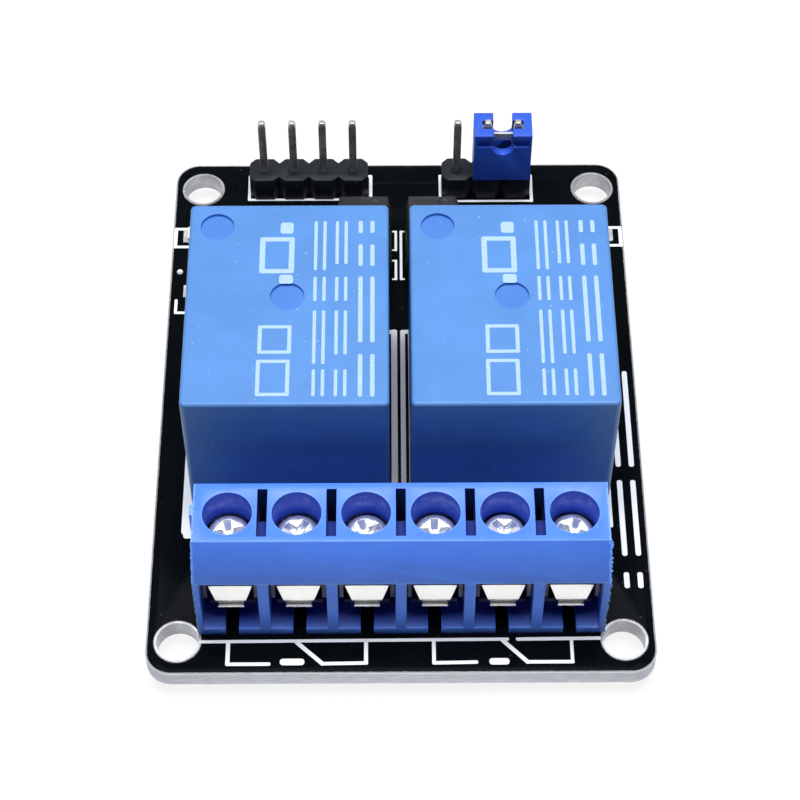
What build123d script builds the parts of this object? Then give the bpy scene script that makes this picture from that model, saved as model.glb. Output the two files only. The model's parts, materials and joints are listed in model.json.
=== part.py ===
from build123d import *
from math import hypot, radians, sin
import os

os.makedirs("parts", exist_ok=True)

# A relay module board: a drilled circuit board that carries two cube relays, a six-way screw
# terminal block, two optocouplers, two pin headers with a jumper, and small surface parts.
# Sizes are in millimetres. X runs to the right, Y runs from the screw terminals to the pin
# headers, and Z runs up from the tips of the trimmed leads that the board stands on.

# Circuit board
board_thickness = 1.6
board_corner_radius = 2.0
board_front_margin = 3.4
board_back_margin = 1.48
board_side_margin = 3.15
mount_hole_diameter = 3.2
mount_hole_edge_x = 0.8
mount_hole_edge_y = 1.2
liner_wall = 0.15
lead_below_board = 1.5
lead_hole_clearance = 0.08
lead_hole_sides = 8
solder_height = 0.9
solder_spread = 0.45
solder_slope_angle = 20.0

# Screw terminal block
pole_count = 6
pole_pitch = 5.08
terminal_depth = 6.95
terminal_height = 10.1
terminal_slope_run = 1.9
window_height = 6.4
window_floor = 0.8
rib_width = 0.8
terminal_back_wall = 0.7
well_clearance = 0.225
divider_slot_width = 0.74
divider_slot_front = 2.34
divider_slot_back_wall = 0.49
divider_slot_deep_length = 2.26
divider_slot_shallow = 0.9
divider_slot_deep = 2.5
floor_slot_width = 1.0
floor_slot_length = 4.0
floor_slot_radius = 0.2
side_tab_width = 0.9
side_tab_proud = 0.25
side_tab_from_front = 4.65

# Contact frame, clamp leaf and screw in each pole
frame_thickness = 0.5
frame_front = 1.25
frame_set_back = 2.25
frame_side_clearance = 0.09
frame_floor_clearance = 0.05
frame_back_clearance = 0.05
frame_top_height = 4.9
cheek_thickness = 0.3
cheek_below_bridge = 1.1
cheek_above_bridge = 1.0
cheek_length = 2.4
terminal_pin_width = 0.9
terminal_pin_thickness = 0.6
terminal_pin_from_front = 3.4
leaf_thickness = 0.35
leaf_gap = 0.1
leaf_roof_gap = 2.5
leaf_lean = 0.6
leaf_knee_height = 3.3
leaf_tongue_height = 3.4
leaf_side_clearance = 0.47
leaf_tongue_width = 2.22
leaf_back_clearance = 0.35
leaf_bend_radius = 0.3
leaf_lip_width = 1.98
leaf_lip_drop = 0.45
leaf_lip_thickness = 0.2
leaf_lip_depth = 0.5
leaf_lip_web = 0.2
clamp_travel_down = 1.5
screw_head_diameter = 3.2
screw_head_height = 1.1
screw_head_gap = 0.1
screw_shank_diameter = 2.5
screw_back_gap = 0.1
screw_running_clearance = 0.05
screw_tip_gap = 0.02
screw_recess_width = 0.5
screw_recess_length = 2.5
screw_recess_depth = 0.6
screw_head_edge = 0.2

# Cube relay
relay_width = 15.3
relay_length = 19.1
relay_height = 15.6
relay_spacing = 1.6
relay_gap = 3.15
cover_wall = 0.7
cover_roof = 0.8
cover_corner_radius = 0.4
cover_edge_radius = 0.25
cover_mark_diameter = 2.6
cover_mark_depth = 0.25
cover_mark_from_side = 2.15
cover_mark_from_back = 2.25
cover_mark_past_centre = 0.5
relay_standoff = 0.3
relay_foot_width = 1.0
base_thickness = 1.2
base_clearance = 0.06
contact_pin_width = 0.9
contact_pin_thickness = 0.5
coil_pin_width = 0.6
pin_clearance = 0.05
contact_row_inset = 1.75
side_pin_inset = 0.9
coil_row_from_yoke_back = 2.75
common_pin_from_yoke_back = 0.8
yoke_thickness = 1.0
yoke_width = 8.6
yoke_back_inset = 0.95
yoke_foot_past_core = 3.3
yoke_lift = 0.05
core_diameter = 4.0
core_head_diameter = 6.4
core_head_height = 0.7
core_spigot_diameter = 2.4
bobbin_wall = 0.5
bobbin_flange = 0.7
bobbin_flange_width = 9.4
bobbin_yoke_gap = 0.3
bobbin_clearance = 0.05
bobbin_corner = 0.8
bobbin_ear_width = 1.6
bobbin_ear_length = 1.8
winding_inset = 0.3
armature_thickness = 1.0
armature_width = 8.0
armature_past_head = 0.3
armature_gap = 0.05
armature_opening_angle = 2.5
spring_thickness = 0.2
spring_width = 3.0
spring_past_contact = 0.8
spring_drop = 2.6
spring_back_gap = 0.3
rivet_diameter = 1.6
rivet_height = 0.25
rivet_spacing = 3.2
contact_button_diameter = 1.8
contact_button_height = 0.3
contact_gap = 0.06
contact_strip_thickness = 0.4
contact_strip_width = 1.8
contact_strip_overhang = 0.3
contact_roof_gap = 0.42

# Optocouplers
opto_width = 4.6
opto_length = 6.5
opto_height = 3.5
opto_standoff = 0.5
opto_draft_angle = 9.0
opto_row_spacing = 7.62
opto_lead_pitch = 2.54
opto_lead_thickness = 0.25
opto_lead_width = 0.5
opto_shoulder_width = 1.1
opto_shoulder_gap = 0.25
opto_offset_x = 2.9
opto_gap = 4.0
opto_mark_diameter = 0.9
opto_mark_depth = 0.1
opto_mark_from_side = 1.3
opto_mark_from_end = 0.85

# Pin headers and jumper
header_pitch = 2.54
header_width = 2.54
header_height = 2.5
header_corner = 0.5
header_gap = 2.26
header_pin_width = 0.64
header_pin_above = 8.5
header_tip_length = 0.44
header_tip_inset = 0.11
input_header_pins = 4
input_header_x = -7.65
power_header_pins = 3
power_header_x = 7.58
cap_gap = 0.06
cap_height = 5.55
cap_depth = 2.7
cap_end_wall = 0.54
cap_side_wall = 0.4
cap_roof = 0.45
cap_pin_opening = 0.92
cap_notch_width = 1.6
cap_scoop_radius = 0.9
cap_groove_height = 0.75
cap_groove_depth = 0.3
cap_groove_end = 0.26
cap_top_block = 0.65
clip_thickness = 0.2
clip_clearance = 0.06
clip_pin_clearance = 0.04
clip_bottom_gap = 0.5
clip_lip = 0.35
clip_band_height = 0.85
clip_arch_width = 1.5
clip_arch_radius = 0.3

# Small surface parts behind the relays
chip_length = 2.0
chip_width = 1.25
chip_height = 0.55
chip_cap_length = 0.4
chip_cap_thickness = 0.03
led_height = 0.8
led_cap_height = 0.4
transistor_length = 2.9
transistor_width = 1.3
transistor_height = 1.0
transistor_draft_angle = 8.0
transistor_lead_width = 0.4
transistor_lead_spacing = 1.9
transistor_lead_reach = 0.55
transistor_lead_thickness = 0.15
diode_length = 2.7
diode_width = 1.6
diode_height = 1.1
diode_draft_angle = 5.0
diode_tab_width = 0.9
diode_tab_reach = 0.5
diode_tab_thickness = 0.2
part_standoff = 0.1

# Places along the board, counted from its front edge, then turned to the board's centre
relay_front_offset = board_front_margin + terminal_depth + relay_gap
relay_back_offset = relay_front_offset + relay_length
opto_centre_offset = relay_back_offset + opto_gap + opto_row_spacing / 2
header_front_offset = opto_centre_offset + opto_row_spacing / 2 + header_gap
board_length = header_front_offset + header_width + board_back_margin
board_width = 2 * relay_width + relay_spacing + 2 * board_side_margin
front_edge = -board_length / 2
terminal_front = front_edge + board_front_margin
relay_y = front_edge + relay_front_offset + relay_length / 2
relay_back = front_edge + relay_back_offset
relay_x = (relay_width + relay_spacing) / 2
opto_y = front_edge + opto_centre_offset
header_y = front_edge + header_front_offset + header_width / 2
board_underside = lead_below_board
board_top = board_underside + board_thickness
mount_hole_x = board_width / 2 - mount_hole_edge_x - mount_hole_diameter / 2
mount_hole_y = board_length / 2 - mount_hole_edge_y - mount_hole_diameter / 2
mount_points = [(sx * mount_hole_x, sy * mount_hole_y) for sx in (-1, 1) for sy in (-1, 1)]
terminal_width = pole_count * pole_pitch
pole_places = [(i - (pole_count - 1) / 2) * pole_pitch for i in range(pole_count)]
divider_places = [(i - pole_count / 2) * pole_pitch for i in range(1, pole_count)]
relay_places = {"left": -relay_x, "right": relay_x}


def block(x0, x1, y0, y1, z0, z1):
    """A box given by its six faces."""
    return Pos((x0 + x1) / 2, (y0 + y1) / 2, (z0 + z1) / 2) * Box(x1 - x0, y1 - y0, z1 - z0)


def bar(x, y, half_x, half_y, z0, z1):
    """An upright square-cut bar about a centre, between two heights."""
    return block(x - half_x, x + half_x, y - half_y, y + half_y, z0, z1)


def post(x, y, z0, z1, radius):
    """An upright cylinder between two heights."""
    return Pos(x, y, (z0 + z1) / 2) * Cylinder(radius, z1 - z0)


def side_profile(points, x0, x1):
    """A solid with an outline in Y and Z, drawn out along X."""
    outline = Polyline([(x0, y, z) for y, z in points], close=True)
    return extrude(make_face(outline), amount=x1 - x0, dir=(1, 0, 0))


def save(shape, name):
    """Write one node's STEP file."""
    shape.label = name
    export_step(shape, f"parts/{name}.step")


def row(count, pitch, centre):
    """Places of a row of pins about its centre."""
    return [centre + (i - (count - 1) / 2) * pitch for i in range(count)]


# Pin rows, yoke and core of a relay, about its centre
contact_row_y = -(relay_length / 2 - cover_wall - contact_row_inset)
side_pin_x = relay_width / 2 - cover_wall - side_pin_inset
yoke_back_y = relay_length / 2 - cover_wall - yoke_back_inset
coil_row_y = yoke_back_y - coil_row_from_yoke_back
common_pin_y = yoke_back_y - common_pin_from_yoke_back
core_y = yoke_back_y - yoke_thickness - bobbin_yoke_gap - bobbin_flange_width / 2


# Every lead that goes through the board: its centre and its two widths
input_pin_x = row(input_header_pins, header_pitch, input_header_x)
power_pin_x = row(power_header_pins, header_pitch, power_header_x)
header_leads = [(x, header_y, header_pin_width, header_pin_width) for x in input_pin_x + power_pin_x]
terminal_pin_y = terminal_front + terminal_pin_from_front
terminal_leads = [(x, terminal_pin_y, terminal_pin_width, terminal_pin_thickness) for x in pole_places]
opto_leads = [
    (side * opto_offset_x + lx, opto_y + sy * opto_row_spacing / 2, opto_lead_width, opto_lead_thickness)
    for side in (-1, 1)
    for sy in (-1, 1)
    for lx in (-opto_lead_pitch / 2, opto_lead_pitch / 2)
]
relay_leads = []
for centre_x in relay_places.values():
    relay_leads.append((centre_x, relay_y + common_pin_y, contact_pin_width, contact_pin_thickness))
    for sx in (-1, 1):
        relay_leads.append((centre_x + sx * side_pin_x, relay_y + contact_row_y,
                            contact_pin_thickness, contact_pin_width))
        relay_leads.append((centre_x + sx * side_pin_x, relay_y + coil_row_y,
                            coil_pin_width, coil_pin_width))
all_leads = header_leads + terminal_leads + opto_leads + relay_leads


def lead(x, y, width_x, width_y, top):
    """One square-cut lead, from its trimmed tip up to a height."""
    return block(x - width_x / 2, x + width_x / 2, y - width_y / 2, y + width_y / 2, 0, top)


# Circuit board: one sheet of laminate with round corners, plated mounting holes and lead holes,
# which have few sides because there are many and they are filled
def circuit_board():
    sheet = extrude(RectangleRounded(board_width, board_length, board_corner_radius), amount=board_thickness)
    sheet = Pos(0, 0, board_underside) * sheet
    cuts = []
    hole_radius = mount_hole_diameter / 2
    for x, y in mount_points:
        cuts.append(post(x, y, board_underside, board_top, hole_radius + liner_wall))
    for x, y, width_x, width_y in all_leads:
        hole = RegularPolygon(hypot(width_x, width_y) / 2 + lead_hole_clearance, lead_hole_sides)
        cuts.append(Pos(x, y, board_underside) * extrude(hole, amount=board_thickness))
    return sheet - cuts


def mounting_hole_liners():
    """Plated walls of the mounting holes, whose ends are the bright rims on both faces."""
    hole_radius = mount_hole_diameter / 2
    liners = []
    for x, y in mount_points:
        liner = post(x, y, board_underside, board_top, hole_radius + liner_wall)
        liners.append(liner - post(x, y, board_underside, board_top, hole_radius))
    return Compound(liners)


def solder_joints():
    """A cone of solder round each lead on the underside, with few sides because there are many."""
    joints = []
    for x, y, width_x, width_y in all_leads:
        pad = RegularPolygon(hypot(width_x, width_y) / 2 + solder_spread, lead_hole_sides)
        pad = Pos(x, y, board_underside) * pad
        cone = extrude(pad, amount=solder_height, dir=(0, 0, -1), taper=solder_slope_angle)
        joints.append(cone - lead(x, y, width_x, width_y, board_top))
    return Compound(joints)


save(circuit_board(), "circuit_board")
save(mounting_hole_liners(), "mounting_hole_liners")
save(solder_joints(), "solder_joints")


# Heights and depths that the terminal block's pieces share
terminal_back = terminal_front + terminal_depth
chamber_half = (pole_pitch - rib_width) / 2
chamber_floor = board_top + window_floor
chamber_roof = chamber_floor + window_height
chamber_back = terminal_back - terminal_back_wall
frame_back = chamber_back - frame_back_clearance
screw_y = frame_back - frame_thickness - screw_back_gap - screw_shank_diameter / 2
well_radius = screw_head_diameter / 2 + well_clearance
bridge_top = board_top + frame_top_height
screw_seat = bridge_top + clamp_travel_down + screw_head_gap
leaf_tongue = board_top + leaf_tongue_height


# Terminal block: one moulding with a sloped brow, a wire window and a screw well for each pole
def terminal_housing():
    front = terminal_front
    half = terminal_width / 2
    top = board_top + terminal_height
    outline = [(front, board_top), (terminal_back, board_top), (terminal_back, top),
               (front + terminal_slope_run, top), (front, chamber_roof)]
    body = side_profile(outline, -half, half)
    tab_y = front + side_tab_from_front
    body += block(-half - side_tab_proud, -half, tab_y - side_tab_width / 2, tab_y + side_tab_width / 2,
                  board_top, top)
    cuts = []
    slot = floor_slot_width / 2
    for x in pole_places:
        cuts.append(block(x - chamber_half, x + chamber_half, front, chamber_back,
                          chamber_floor, chamber_roof))
        cuts.append(post(x, screw_y, chamber_roof, top, well_radius))
        notch = Pos(x, front) * Rectangle(2 * slot, 2 * floor_slot_length)
        notch = fillet(notch.vertices().sort_by(Axis.Y)[-2:], floor_slot_radius)
        cuts.append(Pos(0, 0, board_top) * extrude(notch, amount=window_floor))
    side = divider_slot_width / 2
    slot_front = front + divider_slot_front
    slot_back = terminal_back - divider_slot_back_wall
    step = slot_back - divider_slot_deep_length
    for x in divider_places:
        cuts.append(block(x - side, x + side, slot_front, slot_back, top - divider_slot_shallow, top))
        cuts.append(block(x - side, x + side, step, slot_back, top - divider_slot_deep, top))
    return body - cuts


def terminal_contact(x):
    """Folded metal frame of one pole: foot, back, threaded bridge, two cheeks and a solder pin."""
    outer = chamber_half - frame_side_clearance
    inner = outer - cheek_thickness
    front = terminal_front + frame_front
    set_back = terminal_front + frame_set_back
    foot = chamber_floor + frame_floor_clearance
    frame = block(x - inner, x + inner, set_back, frame_back, foot, foot + frame_thickness)
    frame += block(x - inner, x + inner, frame_back - frame_thickness, frame_back, foot, bridge_top)
    frame += block(x - inner, x + inner, set_back, frame_back, bridge_top - frame_thickness, bridge_top)
    cheek_foot = bridge_top - frame_thickness - cheek_below_bridge
    cheek_top = bridge_top + cheek_above_bridge
    for sx in (-1, 1):
        edges = sorted((x + sx * inner, x + sx * outer))
        frame += block(edges[0], edges[1], front, front + cheek_length, cheek_foot, cheek_top)
    thread = screw_shank_diameter / 2 + screw_running_clearance
    frame -= post(x, screw_y, bridge_top - frame_thickness, bridge_top, thread)
    return frame + lead(x, terminal_pin_y, terminal_pin_width, terminal_pin_thickness, foot)


def clamp_leaf(x):
    """Bent plate of one pole: a leaning tapered face, a tongue under the screw, and a lip below."""
    front = terminal_front + frame_front - leaf_gap - leaf_thickness
    back = frame_back - frame_thickness - leaf_back_clearance
    tongue = leaf_tongue
    top = chamber_roof - leaf_roof_gap
    knee = board_top + leaf_knee_height
    wide = chamber_half - leaf_side_clearance
    narrow = leaf_tongue_width / 2
    outline = [(front, tongue - leaf_thickness), (back, tongue - leaf_thickness), (back, tongue),
               (front + leaf_thickness, tongue), (front + leaf_lean + leaf_thickness, top),
               (front + leaf_lean, top)]
    strip = side_profile(outline, x - wide, x + wide)
    heel = [edge for edge in strip.edges().filter_by(Axis.X)
            if abs(edge.center().Y - front) < leaf_thickness / 4 and edge.center().Z < tongue]
    strip = fillet(heel, leaf_bend_radius)
    foot = tongue - leaf_thickness
    taper = Polyline([(x - wide, front, top), (x + wide, front, top), (x + narrow, front, knee),
                      (x + narrow, front, foot), (x - narrow, front, foot),
                      (x - narrow, front, knee)], close=True)
    taper = extrude(make_face(taper), amount=back - front, dir=(0, 1, 0))
    lip = leaf_lip_width / 2
    lip_back = front + leaf_lip_depth
    lip_foot = foot - leaf_lip_drop
    web = block(x - lip, x + lip, lip_back - leaf_lip_web, lip_back, lip_foot, foot)
    hem = block(x - lip, x + lip, front, lip_back, lip_foot, lip_foot + leaf_lip_thickness)
    return (strip & taper) + web + hem


def terminal_screw(x):
    """Clamp screw with a cheese head and a cross recess."""
    top = screw_seat + screw_head_height
    head = post(x, screw_y, screw_seat, top, screw_head_diameter / 2)
    head = chamfer(head.edges().sort_by(Axis.Z)[-1], screw_head_edge)
    recess = screw_recess_length / 2
    side = screw_recess_width / 2
    cross = bar(x, screw_y, recess, side, top - screw_recess_depth, top)
    cross += bar(x, screw_y, side, recess, top - screw_recess_depth, top)
    return head + post(x, screw_y, leaf_tongue + screw_tip_gap, screw_seat, screw_shank_diameter / 2) - cross


save(terminal_housing(), "terminal_housing")
for number, pole_x in enumerate(pole_places, 1):
    save(terminal_contact(pole_x), f"terminal_contact_{number}")
    save(clamp_leaf(pole_x), f"clamp_leaf_{number}")
    save(terminal_screw(pole_x), f"terminal_screw_{number}")


# Cube relay: every piece is drawn about the relay's centre, with heights above the board
base_top = relay_standoff + base_thickness
yoke_foot = base_top + yoke_lift
yoke_foot_top = yoke_foot + yoke_thickness
hinge_y = yoke_back_y - yoke_thickness / 2
tip_y = contact_row_y
tip_rise = (hinge_y - tip_y) * sin(radians(armature_opening_angle))
tip_lean = contact_button_diameter / 2 * sin(radians(armature_opening_angle))
closed_strip_bottom = relay_height - cover_roof - contact_roof_gap - contact_strip_thickness
closed_button_bottom = closed_strip_bottom - contact_button_height
spring_top = closed_button_bottom - contact_gap - tip_lean - tip_rise - contact_button_height
armature_top = spring_top - spring_thickness
hinge_z = armature_top - armature_thickness
pole_face_height = hinge_z - armature_gap


def relay_cover():
    """Moulded box, open underneath, with two shallow round marks on its roof."""
    height = relay_height - relay_standoff
    shell = extrude(RectangleRounded(relay_width, relay_length, cover_corner_radius), amount=height)
    shell = fillet(shell.faces().sort_by(Axis.Z)[-1].edges(), cover_edge_radius)
    room = Pos(0, 0, (height - cover_roof) / 2) * Box(
        relay_width - 2 * cover_wall, relay_length - 2 * cover_wall, height - cover_roof)
    corner_mark = (cover_mark_from_side - relay_width / 2, relay_length / 2 - cover_mark_from_back)
    marks = [post(x, y, height - cover_mark_depth, height, cover_mark_diameter / 2)
             for x, y in ((0, cover_mark_past_centre), corner_mark)]
    return Pos(0, 0, relay_standoff) * (shell - room - marks)


def relay_base():
    """Base plate on four feet, pierced for the five pins."""
    half_x = relay_width / 2 - cover_wall - base_clearance
    half_y = relay_length / 2 - cover_wall - base_clearance
    plate = block(-half_x, half_x, -half_y, half_y, relay_standoff, base_top)
    for sx in (-1, 1):
        for sy in (-1, 1):
            foot_x = sorted((sx * half_x, sx * (half_x - relay_foot_width)))
            foot_y = sorted((sy * half_y, sy * (half_y - relay_foot_width)))
            plate += block(foot_x[0], foot_x[1], foot_y[0], foot_y[1], 0, relay_standoff)
    side = contact_pin_thickness / 2 + pin_clearance
    wide = contact_pin_width / 2 + pin_clearance
    coil = coil_pin_width / 2 + pin_clearance
    cuts = [block(-wide, wide, common_pin_y - side, common_pin_y + side, relay_standoff, base_top)]
    for sx in (-1, 1):
        x = sx * side_pin_x
        cuts.append(bar(x, contact_row_y, side, wide, relay_standoff, base_top))
        cuts.append(bar(x, coil_row_y, coil, coil, relay_standoff, base_top))
    return plate - cuts


def relay_yoke():
    """Steel angle that closes the magnetic path, with the common pin at its heel."""
    half = yoke_width / 2
    yoke = block(-half, half, core_y - yoke_foot_past_core, yoke_back_y, yoke_foot, yoke_foot_top)
    yoke += block(-half, half, yoke_back_y - yoke_thickness, yoke_back_y, yoke_foot, pole_face_height)
    yoke -= post(0, core_y, yoke_foot, yoke_foot_top, core_spigot_diameter / 2 + bobbin_clearance)
    pin = block(-contact_pin_width / 2, contact_pin_width / 2, common_pin_y - contact_pin_thickness / 2,
                common_pin_y + contact_pin_thickness / 2, -board_top, yoke_foot)
    return yoke + pin


def relay_core():
    """Turned iron core with a pole head on top and a spigot riveted in the yoke."""
    core = post(0, core_y, yoke_foot_top, pole_face_height, core_diameter / 2)
    core += post(0, core_y, pole_face_height - core_head_height, pole_face_height, core_head_diameter / 2)
    return core + post(0, core_y, yoke_foot, yoke_foot_top, core_spigot_diameter / 2)


def relay_bobbin():
    """Spool with two square flanges; ears on the lower one hold the coil pins."""
    bottom = yoke_foot_top + bobbin_clearance
    top = pole_face_height - core_head_height - bobbin_clearance
    bore = core_diameter / 2 + bobbin_clearance
    flange = chamfer(Rectangle(bobbin_flange_width, bobbin_flange_width).vertices(), bobbin_corner)
    flange = extrude(flange, amount=bobbin_flange)
    spool = Pos(0, core_y, bottom) * flange
    spool += Pos(0, core_y, top - bobbin_flange) * flange
    spool += post(0, core_y, bottom, top, bore + bobbin_wall)
    spool -= post(0, core_y, bottom, top, bore)
    for sx in (-1, 1):
        ear_root = bobbin_flange_width / 2 - bobbin_corner
        reach = sorted((sx * ear_root, sx * (side_pin_x + bobbin_ear_width / 2)))
        ear_y = (coil_row_y - bobbin_ear_length / 2, coil_row_y + bobbin_ear_length / 2)
        spool += block(reach[0], reach[1], ear_y[0], ear_y[1], bottom, bottom + bobbin_flange)
        hole = coil_pin_width / 2 + pin_clearance
        x = sx * side_pin_x
        spool -= bar(x, coil_row_y, hole, hole, bottom, bottom + bobbin_flange)
    return spool


def relay_winding():
    """The coil of fine enamelled wire, as one thick sleeve."""
    bottom = yoke_foot_top + 2 * bobbin_clearance + bobbin_flange
    top = pole_face_height - core_head_height - 2 * bobbin_clearance - bobbin_flange
    inner = core_diameter / 2 + 2 * bobbin_clearance + bobbin_wall
    outer = bobbin_flange_width / 2 - winding_inset
    return post(0, core_y, bottom, top, outer) - post(0, core_y, bottom, top, inner)


def relay_coil_pins():
    """Two square pins that end just above the bobbin's ears."""
    top = yoke_foot_top + bobbin_clearance + bobbin_flange + coil_pin_width
    side = coil_pin_width / 2
    pins = [block(sx * side_pin_x - side, sx * side_pin_x + side, coil_row_y - side, coil_row_y + side,
                  -board_top, top) for sx in (-1, 1)]
    return Compound(pins)


def swing_open(shape):
    """Turn a piece drawn on the pole face to where the return spring holds it."""
    about_hinge = Pos(0, hinge_y, hinge_z) * Rot(-armature_opening_angle, 0, 0) * Pos(0, -hinge_y, -hinge_z)
    return about_hinge * shape


def relay_armature():
    """Flat steel plate that hinges on the yoke's upper edge."""
    half = armature_width / 2
    front = core_y - core_head_diameter / 2 - armature_past_head
    return swing_open(block(-half, half, front, yoke_back_y, hinge_z, armature_top))


def relay_contact_spring():
    """Leaf spring on the armature, with a bent tail, two rivet heads and a double contact button."""
    half = spring_width / 2
    tail = yoke_back_y + spring_back_gap
    leaf = block(-half, half, tip_y - spring_past_contact, tail + spring_thickness, armature_top, spring_top)
    leaf += block(-half, half, tail, tail + spring_thickness, hinge_z - spring_drop, spring_top)
    for sy in (-1, 1):
        rivet_y = core_y + sy * rivet_spacing / 2
        leaf += post(0, rivet_y, spring_top, spring_top + rivet_height, rivet_diameter / 2)
    leaf += post(0, tip_y, armature_top - contact_button_height, spring_top + contact_button_height,
                 contact_button_diameter / 2)
    return swing_open(leaf)


def fixed_contact(side, strip_bottom, button_bottom, button_top):
    """Post from the base with an arm over to the middle and one contact button."""
    x = side * side_pin_x
    thick = contact_pin_thickness / 2
    wide = contact_pin_width / 2
    reach = contact_strip_width / 2
    arm_end = -side * (contact_button_diameter / 2 + contact_strip_overhang)
    arm = sorted((arm_end, x + side * thick))
    strip_top = strip_bottom + contact_strip_thickness
    piece = bar(x, tip_y, thick, wide, -board_top, base_top + contact_strip_thickness)
    piece += bar(x, tip_y, thick, reach, base_top, strip_top)
    piece += block(arm[0], arm[1], tip_y - reach, tip_y + reach, strip_bottom, strip_top)
    return piece + post(0, tip_y, button_bottom, button_top, contact_button_diameter / 2)


def relay_open_contact():
    """Lower fixed contact, which the spring meets when the coil pulls."""
    button_top = armature_top - contact_button_height - contact_gap
    strip = button_top - contact_button_height - contact_strip_thickness
    return fixed_contact(-1, strip, strip + contact_strip_thickness, button_top)


def relay_closed_contact():
    """Upper fixed contact, which the spring rests against."""
    return fixed_contact(1, closed_strip_bottom, closed_button_bottom, closed_strip_bottom)


relay_pieces = {
    "cover": relay_cover(),
    "base": relay_base(),
    "yoke": relay_yoke(),
    "core": relay_core(),
    "bobbin": relay_bobbin(),
    "winding": relay_winding(),
    "coil_pins": relay_coil_pins(),
    "armature": relay_armature(),
    "contact_spring": relay_contact_spring(),
    "open_contact": relay_open_contact(),
    "closed_contact": relay_closed_contact(),
}
for side_name, centre_x in relay_places.items():
    for piece_name, piece in relay_pieces.items():
        save(Pos(centre_x, relay_y, board_top) * piece, f"{side_name}_relay_{piece_name}")


# Optocouplers: a drafted four-lead body with a round mark by its first lead
def opto_body(x):
    half = opto_height / 2
    middle = Rectangle(opto_width, opto_length)
    upper = extrude(middle, amount=half, taper=opto_draft_angle)
    lower = extrude(middle, amount=-half, taper=opto_draft_angle)
    mark = post(opto_width / 2 - opto_mark_from_side, opto_length / 2 - opto_mark_from_end,
                half - opto_mark_depth, half, opto_mark_diameter / 2)
    return Pos(x, opto_y, board_top + opto_standoff + half) * (upper + lower - mark)


def optocoupler_leads():
    """Eight bent leads: out of the body's side, over a shoulder and down through the board."""
    leads = []
    shoulder = board_top + opto_standoff + opto_height / 2
    for x, y, width_x, width_y in opto_leads:
        outward = 1 if y > opto_y else -1
        root = opto_y + outward * opto_length / 2
        wide = opto_shoulder_width / 2
        ends = sorted((root, y + outward * width_y / 2))
        shape = block(x - wide, x + wide, ends[0], ends[1], shoulder - opto_lead_thickness, shoulder)
        shape += bar(x, y, wide, width_y / 2, board_top + opto_shoulder_gap, shoulder)
        leads.append(shape + lead(x, y, width_x, width_y, shoulder))
    return Compound(leads)


save(opto_body(-opto_offset_x), "left_optocoupler_body")
save(opto_body(opto_offset_x), "right_optocoupler_body")
save(optocoupler_leads(), "optocoupler_leads")


# Pin headers: a strip of eight-sided cells with a square pin through each
def header_body(places):
    strip = None
    for x in places:
        cell = chamfer(Rectangle(header_pitch, header_width).vertices(), header_corner)
        cell = Pos(x, header_y, board_top) * extrude(cell, amount=header_height)
        strip = cell if strip is None else strip + cell
    side = header_pin_width / 2 + pin_clearance / 2
    bores = [bar(x, header_y, side, side, board_top, board_top + header_height)
             for x in places]
    return strip - bores


def header_pins(places):
    pins = []
    for x in places:
        pin = lead(x, header_y, header_pin_width, header_pin_width, board_top + header_pin_above)
        tips = pin.faces().sort_by(Axis.Z)[-1].edges()
        pins.append(chamfer(tips, header_tip_length, header_tip_inset))
    return Compound(pins)


save(header_body(input_pin_x), "input_header_body")
save(header_pins(input_pin_x), "input_header_pins")
save(header_body(power_pin_x), "power_header_body")
save(header_pins(power_pin_x), "power_header_pins")


# Jumper: a moulded cap over two pins, with a folded metal clip inside that joins them
cap_pins = power_pin_x[-2:]
cap_x = sum(cap_pins) / len(cap_pins)
cap_bottom = board_top + header_height + cap_gap
clip_inner = header_pin_width / 2 + clip_pin_clearance
clip_outer = clip_inner + clip_thickness
cap_room_x = header_pitch / 2 + clip_outer + clip_clearance
cap_room_y = clip_outer + clip_clearance


def jumper_cap():
    half_x = cap_room_x + cap_end_wall
    half_y = max(cap_depth / 2, cap_room_y + cap_side_wall)
    top = cap_bottom + cap_height
    cap = bar(cap_x, header_y, half_x, half_y, cap_bottom, top)
    roof = top - cap_roof
    cap -= bar(cap_x, header_y, cap_room_x, cap_room_y, cap_bottom, roof)
    opening = cap_pin_opening / 2
    for x, outward in zip(cap_pins, (-1, 1)):
        ends = sorted((x + outward * opening, cap_x))
        cap -= block(ends[0], ends[1], header_y - opening, header_y + opening, roof, top)
    groove_top = top - cap_top_block
    groove_bottom = groove_top - cap_groove_height
    cap -= bar(cap_x, header_y, cap_notch_width / 2, half_y, groove_bottom, top)
    scoop = Pos(cap_x, header_y, groove_bottom) * Rot(90, 0, 0) * Cylinder(cap_scoop_radius, 2 * half_y)
    scoop &= bar(cap_x, header_y, cap_scoop_radius, half_y, groove_bottom - cap_scoop_radius, groove_bottom)
    cap -= scoop
    groove_half = half_x - cap_groove_end
    for sy in (-1, 1):
        depth = sorted((header_y + sy * half_y, header_y + sy * (half_y - cap_groove_depth)))
        cap -= block(cap_x - groove_half, cap_x + groove_half, depth[0], depth[1], groove_bottom, groove_top)
    return cap


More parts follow.
